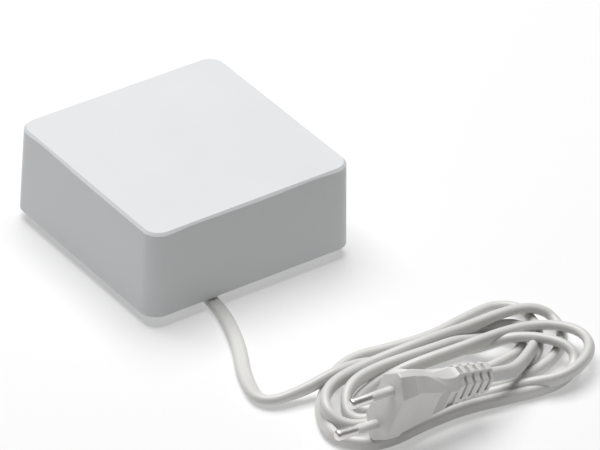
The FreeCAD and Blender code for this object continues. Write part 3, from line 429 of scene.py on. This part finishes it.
def oval_section(width, thickness, sides):
    """Points round a flat section with half-round edges, evenly spaced, as (across, through)."""
    radius = thickness / 2
    flat = width / 2 - radius
    around = 4 * flat + 2 * math.pi * radius
    section = []
    for index in range(sides):
        run = around * index / sides
        if run < 2 * flat:
            section.append((flat - run, radius))
            continue
        run -= 2 * flat
        if run < math.pi * radius:
            angle = math.pi / 2 + run / radius
            section.append((-flat + radius * math.cos(angle), radius * math.sin(angle)))
            continue
        run -= math.pi * radius
        if run < 2 * flat:
            section.append((-flat + run, -radius))
            continue
        angle = -math.pi / 2 + (run - 2 * flat) / radius
        section.append((flat + radius * math.cos(angle), radius * math.sin(angle)))
    return section


def piece_from(name, shape):
    """A new object in the scene with the mesh that was built up as shape, which is used up."""
    mesh = bpy.data.meshes.new(name)
    shape.to_mesh(mesh)
    shape.free()
    piece = bpy.data.objects.new(name, mesh)
    bpy.context.scene.collection.objects.link(piece)
    return piece


def swept_tube(name, line, rolls, section):
    """A closed tube along the line, turned by the roll, with a map of its length and girth.

    Gives the tube and its length.
    """
    shape = bmesh.new()
    map_layer = shape.loops.layers.uv.new("length_and_girth")
    up = Vector((0, 0, 1))
    rings = []
    travelled = [0.0]
    for index, place in enumerate(line):
        ahead = (line[min(index + 1, len(line) - 1)] - line[max(index - 1, 0)]).normalized()
        side = ahead.cross(up).normalized()
        top = side.cross(ahead)
        angle = math.radians(rolls[index])
        broad = side * math.cos(angle) + top * math.sin(angle)
        thin = broad.cross(ahead)
        rings.append([shape.verts.new(place + broad * a + thin * b) for a, b in section])
        if index:
            travelled.append(travelled[-1] + (place - line[index - 1]).length)
    sides = len(section)
    for index in range(len(rings) - 1):
        low, high = rings[index], rings[index + 1]
        for k in range(sides):
            face = shape.faces.new((low[k], low[(k + 1) % sides], high[(k + 1) % sides], high[k]))
            face.smooth = True
            corners = ((index, k), (index, k + 1), (index + 1, k + 1), (index + 1, k))
            for loop, (step, turn) in zip(face.loops, corners):
                loop[map_layer].uv = (travelled[step], turn / sides)
    for ring in (rings[0], rings[-1][::-1]):
        shape.faces.new(ring)
    bmesh.ops.recalc_face_normals(shape, faces=shape.faces)
    return piece_from(name, shape), travelled[-1]


CORD_WHITE = (0.655, 0.650, 0.632)
line = route_line(route)
cord, cord_length = swept_tube(
    "mains_cord", line, roll_along(route, len(line)),
    oval_section(CORD_WIDTH, CORD_THICKNESS, CORD_SIDES))
cord_sheathing = moulded_plastic("cord_sheathing", CORD_WHITE, roughness=0.36,
                                 grain_size=0.0011, grain_depth=0.00005)
cord.data.materials.append(cord_sheathing)
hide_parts("cord_lead", "cord_hank", "cord_tail")
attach(cord, "root")
dress(["cord_grommet", "cord_sheath"], cord_sheathing)

# Plug. A flat two-pin mains plug moulded on the cord in one shot of soft off-white plastic: a
# six-sided body with a raised rim behind its face, finger scoops and fine grip ribs, and a strain
# relief cut by four rows of slots so that it can bend.
PLUG_WHITE = (0.680, 0.672, 0.654)
PLUG_FACE = Vector((-0.0206, -0.1572, 0.0228))
PLUG_ROLL = -17.7
PLUG_PITCH = -5.3
PLUG_YAW = 180.9

# In millimetres: the distance behind the face; the half height and half width of the narrow edge;
# the height and half width of the corner below it; the height and half thickness of the crest; and
# the radius of the corners.
PLUG_STATIONS = [
    (0.0, 17.0, 0.5, 17.0, 0.9, 10.7, 6.2, 0.3),
    (0.2, 17.4, 0.6, 17.4, 1.1, 10.9, 6.55, 0.4),
    (0.7, 17.6, 0.6, 17.6, 1.3, 11.0, 6.8, 0.5),
    (3.5, 17.1, 0.7, 17.1, 1.4, 11.3, 6.85, 0.6),
    (6.5, 16.6, 0.8, 16.6, 1.6, 11.6, 6.65, 0.6),
    (7.0, 16.4, 0.8, 16.4, 1.6, 11.5, 6.45, 0.5),
    (8.2, 15.7, 0.8, 15.7, 1.6, 11.1, 6.0, 0.5),
    (11.0, 15.0, 0.9, 15.0, 1.7, 10.2, 5.95, 0.5),
    (14.0, 13.6, 0.9, 13.6, 1.9, 8.9, 5.9, 0.5),
    (17.0, 11.6, 1.0, 11.5, 2.1, 7.8, 5.9, 0.45),
    (19.0, 10.5, 1.1, 10.0, 2.5, 7.0, 5.9, 0.35),
    (21.0, 9.7, 1.7, 8.5, 3.5, 6.3, 5.9, 0.3),
    (23.0, 9.1, 2.1, 7.2, 4.5, 5.5, 5.9, 0.3),
    (25.0, 8.6, 2.3, 6.2, 5.0, 4.9, 5.85, 0.3),
    (27.5, 8.3, 2.4, 5.1, 5.3, 4.2, 5.75, 0.3),
    (28.9, 8.3, 2.4, 4.6, 5.4, 3.8, 5.65, 0.35),
    (29.6, 8.5, 2.2, 5.9, 3.9, 4.6, 5.4, 0.6),
    (30.4, 8.8, 2.0, 7.2, 2.7, 5.3, 5.2, 0.7),
    (33.5, 8.2, 1.9, 6.8, 2.5, 5.2, 5.0, 0.8),
    (38.0, 7.5, 1.8, 6.1, 2.4, 4.8, 4.8, 0.8),
    (42.0, 6.9, 1.7, 5.6, 2.3, 4.3, 4.65, 0.8),
    (45.4, 6.5, 1.7, 5.2, 2.3, 3.8, 4.5, 0.8),
    (46.6, 6.3, 1.7, 5.0, 2.2, 3.6, 4.4, 0.8),
    (47.3, 5.8, 1.6, 4.6, 2.0, 3.2, 4.1, 0.7),
    (47.7, 5.0, 1.4, 3.9, 1.8, 2.7, 3.6, 0.6),
]
# The relief hangs lower towards its end: distance behind the face and rise, in millimetres.
RELIEF_BEND = [(27.0, 0.0), (30.0, 0.1), (34.0, -0.1), (38.5, -0.4), (43.0, -0.75), (48.0, -1.2)]
CORNER_STEPS = 6
# A corner takes at most this share of each side, and one with a wider half angle stays a point.
CORNER_SHARE = 0.45
STRAIGHT_ENOUGH = math.radians(88)


def rounded_polygon(corners, radius, steps):
    """Points round a polygon given as (across, up), with an arc of steps at each corner."""
    points = []
    count = len(corners)
    for index, corner in enumerate(corners):
        here = Vector(corner)
        before = Vector(corners[index - 1]) - here
        after = Vector(corners[(index + 1) % count]) - here
        reach_limit = CORNER_SHARE * min(before.length, after.length)
        before.normalize()
        after.normalize()
        half = before.angle(after) / 2
        if half > STRAIGHT_ENOUGH:
            points += [here] * (steps + 1)
            continue
        reach = min(radius / math.tan(half), reach_limit)
        bend = reach * math.tan(half)
        middle = here + (before + after).normalized() * (bend / math.sin(half))
        start = here + before * reach - middle
        end = here + after * reach - middle
        for step in range(steps + 1):
            share = step / steps
            spoke = (start * (1 - share) + end * share).normalized() * bend
            points.append(middle + spoke)
    return points


def rise(back):
    """How far the plug's middle is above its axis at a distance behind the face."""
    return float(np.interp(back, *zip(*RELIEF_BEND)))


def plug_outline(top, top_half, corner, corner_half, broad_half, thickness_half):
    """The corners of the plug's section: three in each quarter, as (through, up)."""
    quarter = [(thickness_half, broad_half), (corner_half, corner), (top_half, top)]
    upper = quarter + [(-x, y) for x, y in reversed(quarter)]
    return upper + [(-x, -y) for x, y in upper]


def closed_loft(name, rings):
    """A closed piece through rings that have the same number of points."""
    shape = bmesh.new()
    rows = [[shape.verts.new(point) for point in ring] for ring in rings]
    for low, high in zip(rows, rows[1:]):
        for index in range(len(low)):
            after = (index + 1) % len(low)
            shape.faces.new((low[index], low[after], high[after], high[index]))
    shape.faces.new(rows[0][::-1])
    shape.faces.new(rows[-1])
    bmesh.ops.recalc_face_normals(shape, faces=shape.faces)
    return piece_from(name, shape)


MM = 0.001
rings = []
for back, *outline, radius in PLUG_STATIONS:
    points = rounded_polygon(plug_outline(*outline), radius, CORNER_STEPS)
    rings.append([(-back * MM, point.x * MM, (point.y + rise(back)) * MM) for point in points])
plug = closed_loft("mains_plug", rings)


def slab(back, width, outline):
    """The two ends of a slab across the plug, from its distance behind the face and its outline."""
    return [[(-(back + offset) * MM, x * MM, z * MM) for x, z in outline]
            for offset in (0.0, width)]


# One set of cuts in the relief, in millimetres through and up: a notch over the top and down one
# side, another under the bottom and up the other side, and a slot round each broad side. They
# keep a web between them, and all reach out past the body.
PAST_SIDE = 8.5
PAST_NOTCH = 12.0
PAST_SLOT = 8.0
NOTCH_WIDTH = 1.9
NOTCH = [(-PAST_SIDE, 2.6), (-2.6, 5.2), (1.6, 5.7), (1.6, PAST_NOTCH), (-PAST_SIDE, PAST_NOTCH)]
SLOT_LAG = 2.0
SLOT_WIDTH = 1.3
SLOT = [(3.3, -2.8), (3.3, 3.9), (2.1, 4.9), (2.1, PAST_SLOT), (PAST_SIDE, PAST_SLOT),
        (PAST_SIDE, -2.8)]
set_shapes = []
for sign in (1, -1):
    set_shapes.append(slab(0.0, NOTCH_WIDTH, [(sign * x, sign * z) for x, z in NOTCH]))
    set_shapes.append(slab(SLOT_LAG, SLOT_WIDTH, [(sign * x, sign * z) for x, z in SLOT]))


def joined(name, meshes):
    """One piece that holds all the meshes, which are used up."""
    shape = bmesh.new()
    for mesh in meshes:
        shape.from_mesh(mesh)
        bpy.data.meshes.remove(mesh)
    return piece_from(name, shape)


def one_body(name, lofts):
    """One piece that holds a closed mesh for each list of rings."""
    return joined(name, [closed_loft(name, rings).data for rings in lofts])


def row_tree():
    """Geometry nodes that repeat a shape in a row, each one a little narrower than the last."""
    tree = bpy.data.node_groups.new("row_of_cuts", "GeometryNodeTree")
    face = tree.interface
    for label, kind in (("Shape", "Object"), ("Count", "Int"), ("Start", "Vector"),
                        ("Step", "Vector"), ("Narrowing", "Float"), ("Finish", "Material")):
        face.new_socket(label, in_out="INPUT", socket_type="NodeSocket" + kind)
    face.new_socket("Geometry", in_out="OUTPUT", socket_type="NodeSocketGeometry")
    link = tree.links.new
    given = tree.nodes.new("NodeGroupInput")
    made = tree.nodes.new("NodeGroupOutput")
    row = tree.nodes.new("GeometryNodeMeshLine")
    link(given.outputs["Count"], row.inputs["Count"])
    link(given.outputs["Start"], row.inputs["Start Location"])
    link(given.outputs["Step"], row.inputs["Offset"])
    shape = tree.nodes.new("GeometryNodeObjectInfo")
    link(given.outputs["Shape"], shape.inputs["Object"])
    number = tree.nodes.new("GeometryNodeInputIndex")
    lost = tree.nodes.new("ShaderNodeMath")
    lost.operation = "MULTIPLY"
    link(number.outputs["Index"], lost.inputs[0])
    link(given.outputs["Narrowing"], lost.inputs[1])
    left = tree.nodes.new("ShaderNodeMath")
    left.operation = "SUBTRACT"
    left.inputs[0].default_value = 1.0
    link(lost.outputs["Value"], left.inputs[1])
    size = tree.nodes.new("ShaderNodeCombineXYZ")
    size.inputs["X"].default_value = 1.0
    link(left.outputs["Value"], size.inputs["Y"])
    link(left.outputs["Value"], size.inputs["Z"])
    placed = tree.nodes.new("GeometryNodeInstanceOnPoints")
    link(row.outputs["Mesh"], placed.inputs["Points"])
    link(shape.outputs["Geometry"], placed.inputs["Instance"])
    link(size.outputs["Vector"], placed.inputs["Scale"])
    real = tree.nodes.new("GeometryNodeRealizeInstances")
    link(placed.outputs["Instances"], real.inputs["Geometry"])
    finish = tree.nodes.new("GeometryNodeSetMaterial")
    link(real.outputs["Geometry"], finish.inputs["Geometry"])
    link(given.outputs["Finish"], finish.inputs["Material"])
    link(finish.outputs["Geometry"], made.inputs["Geometry"])
    return tree


def row_of(name, tree, shape, count, start, step, narrowing, finish):
    """A plain mesh of the shape repeated in a row. The shape itself is used up."""
    holder = bpy.data.objects.new(name, bpy.data.meshes.new(name))
    bpy.context.scene.collection.objects.link(holder)
    repeat = holder.modifiers.new("row", "NODES")
    repeat.node_group = tree
    sockets = {item.name: item.identifier for item in tree.interface.items_tree
               if item.in_out == "INPUT"}
    repeat[sockets["Shape"]] = shape
    repeat[sockets["Count"]] = count
    repeat[sockets["Start"]] = start
    repeat[sockets["Step"]] = step
    repeat[sockets["Narrowing"]] = narrowing
    repeat[sockets["Finish"]] = finish
    bpy.context.view_layer.update()
    graph = bpy.context.evaluated_depsgraph_get()
    mesh = bpy.data.meshes.new_from_object(holder.evaluated_get(graph))
    bpy.data.objects.remove(holder)
    bpy.data.objects.remove(shape)
    return mesh


# Four sets of cuts along the relief, in metres, each lower and narrower than the last.
SETS = 4
SET_START = (-0.0302, 0.0, 0.0001)
SET_STEP = (-0.00400, 0.0, -0.0003)
SET_NARROWING = 0.07

# The fine grooves between the grip ribs of each broad side, and the pocket behind them. Their
# depths, heights and widths are in millimetres, and the row's start and step in metres.
GRIPS = 7
GRIP_START = (-0.0202, 0.0, 0.0)
GRIP_STEP = (-0.0007, 0.0, 0.0)
GRIP_NARROWING = 0.0
GRIP_GROOVE = 0.3
GRIP_HEIGHTS = (-5.0, 6.0)
GRIP_FLOOR = 5.62
POCKET_START = 25.5
POCKET_END = 29.3
POCKET_HEIGHTS = (-4.2, 3.4)
POCKET_FLOOR = 4.7
PAST_GRIP = 9.0


def side_cuts(floor, heights):
    """The outline of a cut into each broad side, down to a floor and between two heights."""
    low, high = heights
    near = [(floor, low), (PAST_GRIP, low), (PAST_GRIP, high), (floor, high)]
    return near, [(-x, z) for x, z in near]


plug_plastic = moulded_plastic("plug_plastic", PLUG_WHITE, roughness=0.34, grain_size=0.0009,
                               grain_depth=0.00003)
cuts_row = row_tree()
relief_cuts = row_of("relief_cuts", cuts_row, one_body("relief_set", set_shapes), SETS, SET_START,
                     SET_STEP, SET_NARROWING, plug_plastic)
groove_shapes = [slab(0.0, GRIP_GROOVE, outline) for outline in side_cuts(GRIP_FLOOR, GRIP_HEIGHTS)]
grip_cuts = row_of("grip_cuts", cuts_row, one_body("grip_groove", groove_shapes), GRIPS,
                   GRIP_START, GRIP_STEP, GRIP_NARROWING, plug_plastic)
pocket = one_body("pocket", [slab(POCKET_START, POCKET_END - POCKET_START, outline)
                             for outline in side_cuts(POCKET_FLOOR, POCKET_HEIGHTS)])

# All the cuts are made at once, and then every hard edge is rounded a little, as a mould leaves it.
EDGE_ROUNDING = 0.00014
EDGE_STEPS = 2
EDGE_FROM = math.radians(40)
SHARP_FROM = math.radians(30)
tool = joined("plug_cuts", [relief_cuts, grip_cuts, pocket.data])
carve = plug.modifiers.new("slots", "BOOLEAN")
carve.object = tool
carve.solver = "EXACT"
soften = plug.modifiers.new("edges", "BEVEL")
soften.width = EDGE_ROUNDING
soften.segments = EDGE_STEPS
soften.limit_method = "ANGLE"
soften.angle_limit = EDGE_FROM
soften.use_clamp_overlap = True
bpy.context.view_layer.update()
graph = bpy.context.evaluated_depsgraph_get()
carved = bpy.data.meshes.new_from_object(plug.evaluated_get(graph))
plug.modifiers.clear()
plug.data = carved
bpy.data.objects.remove(tool)
plug_angles = [math.radians(angle) for angle in (PLUG_ROLL, PLUG_PITCH, PLUG_YAW)]
plug_turn = Euler(plug_angles, "XYZ").to_matrix().to_4x4()
carved.transform(Matrix.Translation(PLUG_FACE) @ plug_turn)
carved.shade_smooth()
carved.set_sharp_from_angle(angle=SHARP_FROM)
carved.materials.clear()
carved.materials.append(plug_plastic)
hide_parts("plug_body")
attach(plug, "root")
dress(["pin_sleeves"], plug_plastic)

# Pins. Two round pins of nickel-plated brass, turned to a domed end and moulded into the plug.
# They are bare only at their ends, and lean a little towards each other.
PIN_NICKEL = (0.83, 0.81, 0.785)
pin_nickel = bare_metal("pin_nickel", PIN_NICKEL, roughness=0.42, grain_size=0.004, mottle=0.03)
dress(["plug_pins"], pin_nickel)

# Cover. The one-piece drafted housing, moulded in cool white plastic with a satin face and held by
# four screws from below. Its solid's chamfer narrows midway along each side of the top, so the
# cover shown is a copy of it with an even chamfer.
HOUSING_WHITE = (0.655, 0.662, 0.672)
TOP_HALF = 0.0450
TOP_CORNER = 0.0060
CHAMFER = 0.0010
RIM_SLACK = 0.00006
MERGE = 0.000001
COVER_SHARP_FROM = math.radians(24)
cover_shape = bmesh.new()
cover_shape.from_mesh(nodes["cover"].data)
bmesh.ops.remove_doubles(cover_shape, verts=cover_shape.verts, dist=MERGE)
cover_top = max(vertex.co.z for vertex in cover_shape.verts)
corner_place = TOP_HALF - TOP_CORNER

# Near the top, each point on the outside moves to the even chamfer: its rim to one level, and what
# is above the rim out or in to a rounded square that narrows by as much as it rises.
for vertex in cover_shape.verts:
    place = vertex.co
    drop = cover_top - place.z
    if drop > CHAMFER + RIM_SLACK or max(abs(place.x), abs(place.y)) < corner_place:
        continue
    if drop > CHAMFER - RIM_SLACK:
        place.z = cover_top - CHAMFER
        continue
    reach = TOP_CORNER + drop
    out_x = abs(place.x) - corner_place
    out_y = abs(place.y) - corner_place
    if out_x > 0 and out_y > 0:
        reach /= math.hypot(out_x, out_y)
        place.x = math.copysign(corner_place + out_x * reach, place.x)
        place.y = math.copysign(corner_place + out_y * reach, place.y)
    elif out_x > 0:
        place.x = math.copysign(corner_place + reach, place.x)
    else:
        place.y = math.copysign(corner_place + reach, place.y)
cover = piece_from("housing_cover", cover_shape)
cover_mesh = cover.data
own_normals = cover_mesh.attributes.get("custom_normal")
if own_normals:
    cover_mesh.attributes.remove(own_normals)
cover_mesh.shade_smooth()
cover_mesh.set_sharp_from_angle(angle=COVER_SHARP_FROM)
housing_plastic = moulded_plastic("housing_plastic", HOUSING_WHITE, roughness=0.42,
                                  grain_size=0.0005, grain_depth=0.00003, mottle=0.015)
cover_mesh.materials.clear()
cover_mesh.materials.append(housing_plastic)
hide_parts("cover")
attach(cover, "root")

# Floor. A plain, pale and matt sweep that the unit and its cord lie on. It glows a little, so that
# it comes out nearly white as far as the soft shadows.
FLOOR_REACH = 6.0
FLOOR_GREY = 0.52
FLOOR_GLOW = 0.36
FLOOR_ROUGHNESS = 0.9
floor_shape = bmesh.new()
bmesh.ops.create_grid(floor_shape, x_segments=1, y_segments=1, size=FLOOR_REACH)
floor = piece_from("floor", floor_shape)
floor_finish = bpy.data.materials.new("pale_floor")
floor_finish.use_nodes = True
floor_shader = floor_finish.node_tree.nodes["Principled BSDF"]
floor_shader.inputs["Base Color"].default_value = (FLOOR_GREY, FLOOR_GREY, FLOOR_GREY, 1)
floor_shader.inputs["Emission Color"].default_value = (1, 1, 1, 1)
floor_shader.inputs["Emission Strength"].default_value = FLOOR_GLOW
floor_shader.inputs["Roughness"].default_value = FLOOR_ROUGHNESS
floor.data.materials.append(floor_finish)

# Light. One large soft box above and behind the unit lights its top and the floor, a weak one to
# the left lifts that wall, and a dim white room fills the rest.
LIT_PLACE = Vector((0.0, -0.06, 0.02))
ROOM_STRENGTH = 0.08


def soft_box(name, place, size, watts):
    """A square area light aimed at the middle of the object."""
    lamp = bpy.data.lights.new(name, "AREA")
    lamp.size = size
    lamp.energy = watts
    holder = bpy.data.objects.new(name, lamp)
    holder.location = place
    aim = LIT_PLACE - Vector(place)
    holder.rotation_euler = aim.to_track_quat("-Z", "Y").to_euler()
    bpy.context.scene.collection.objects.link(holder)


soft_box("overhead_box", place=(0.05, 0.36, 1.5), size=1.3, watts=33.5)
soft_box("left_box", place=(-1.6, 0.3, 0.7), size=0.8, watts=0.25)
room = bpy.data.worlds.new("room")
room.use_nodes = True
backdrop = room.node_tree.nodes["Background"]
backdrop.inputs["Color"].default_value = (1, 1, 1, 1)
backdrop.inputs["Strength"].default_value = ROOM_STRENGTH
bpy.context.scene.world = room
bpy.context.scene.view_settings.view_transform = "Standard"

# Camera. A long lens from the front left and above, fitted to the edges of the housing as the
# picture shows them.
CAMERA_PLACE = (-0.9843, -1.3791, 1.163)
CAMERA_TILT = 55.651
CAMERA_ROLL = -1.994
CAMERA_TURN = -35.678
CAMERA_LENS = 320.74
SENSOR_WIDTH = 36.0
CAMERA_SIGHT = 20.0
camera_data = bpy.data.cameras.new("camera")
camera_data.lens = CAMERA_LENS
camera_data.sensor_width = SENSOR_WIDTH
camera_data.clip_end = CAMERA_SIGHT
camera = bpy.data.objects.new("camera", camera_data)
camera.location = CAMERA_PLACE
camera_angles = [math.radians(angle) for angle in (CAMERA_TILT, CAMERA_ROLL, CAMERA_TURN)]
camera.rotation_euler = Euler(camera_angles, "XYZ")
bpy.context.scene.collection.objects.link(camera)
bpy.context.scene.camera = camera
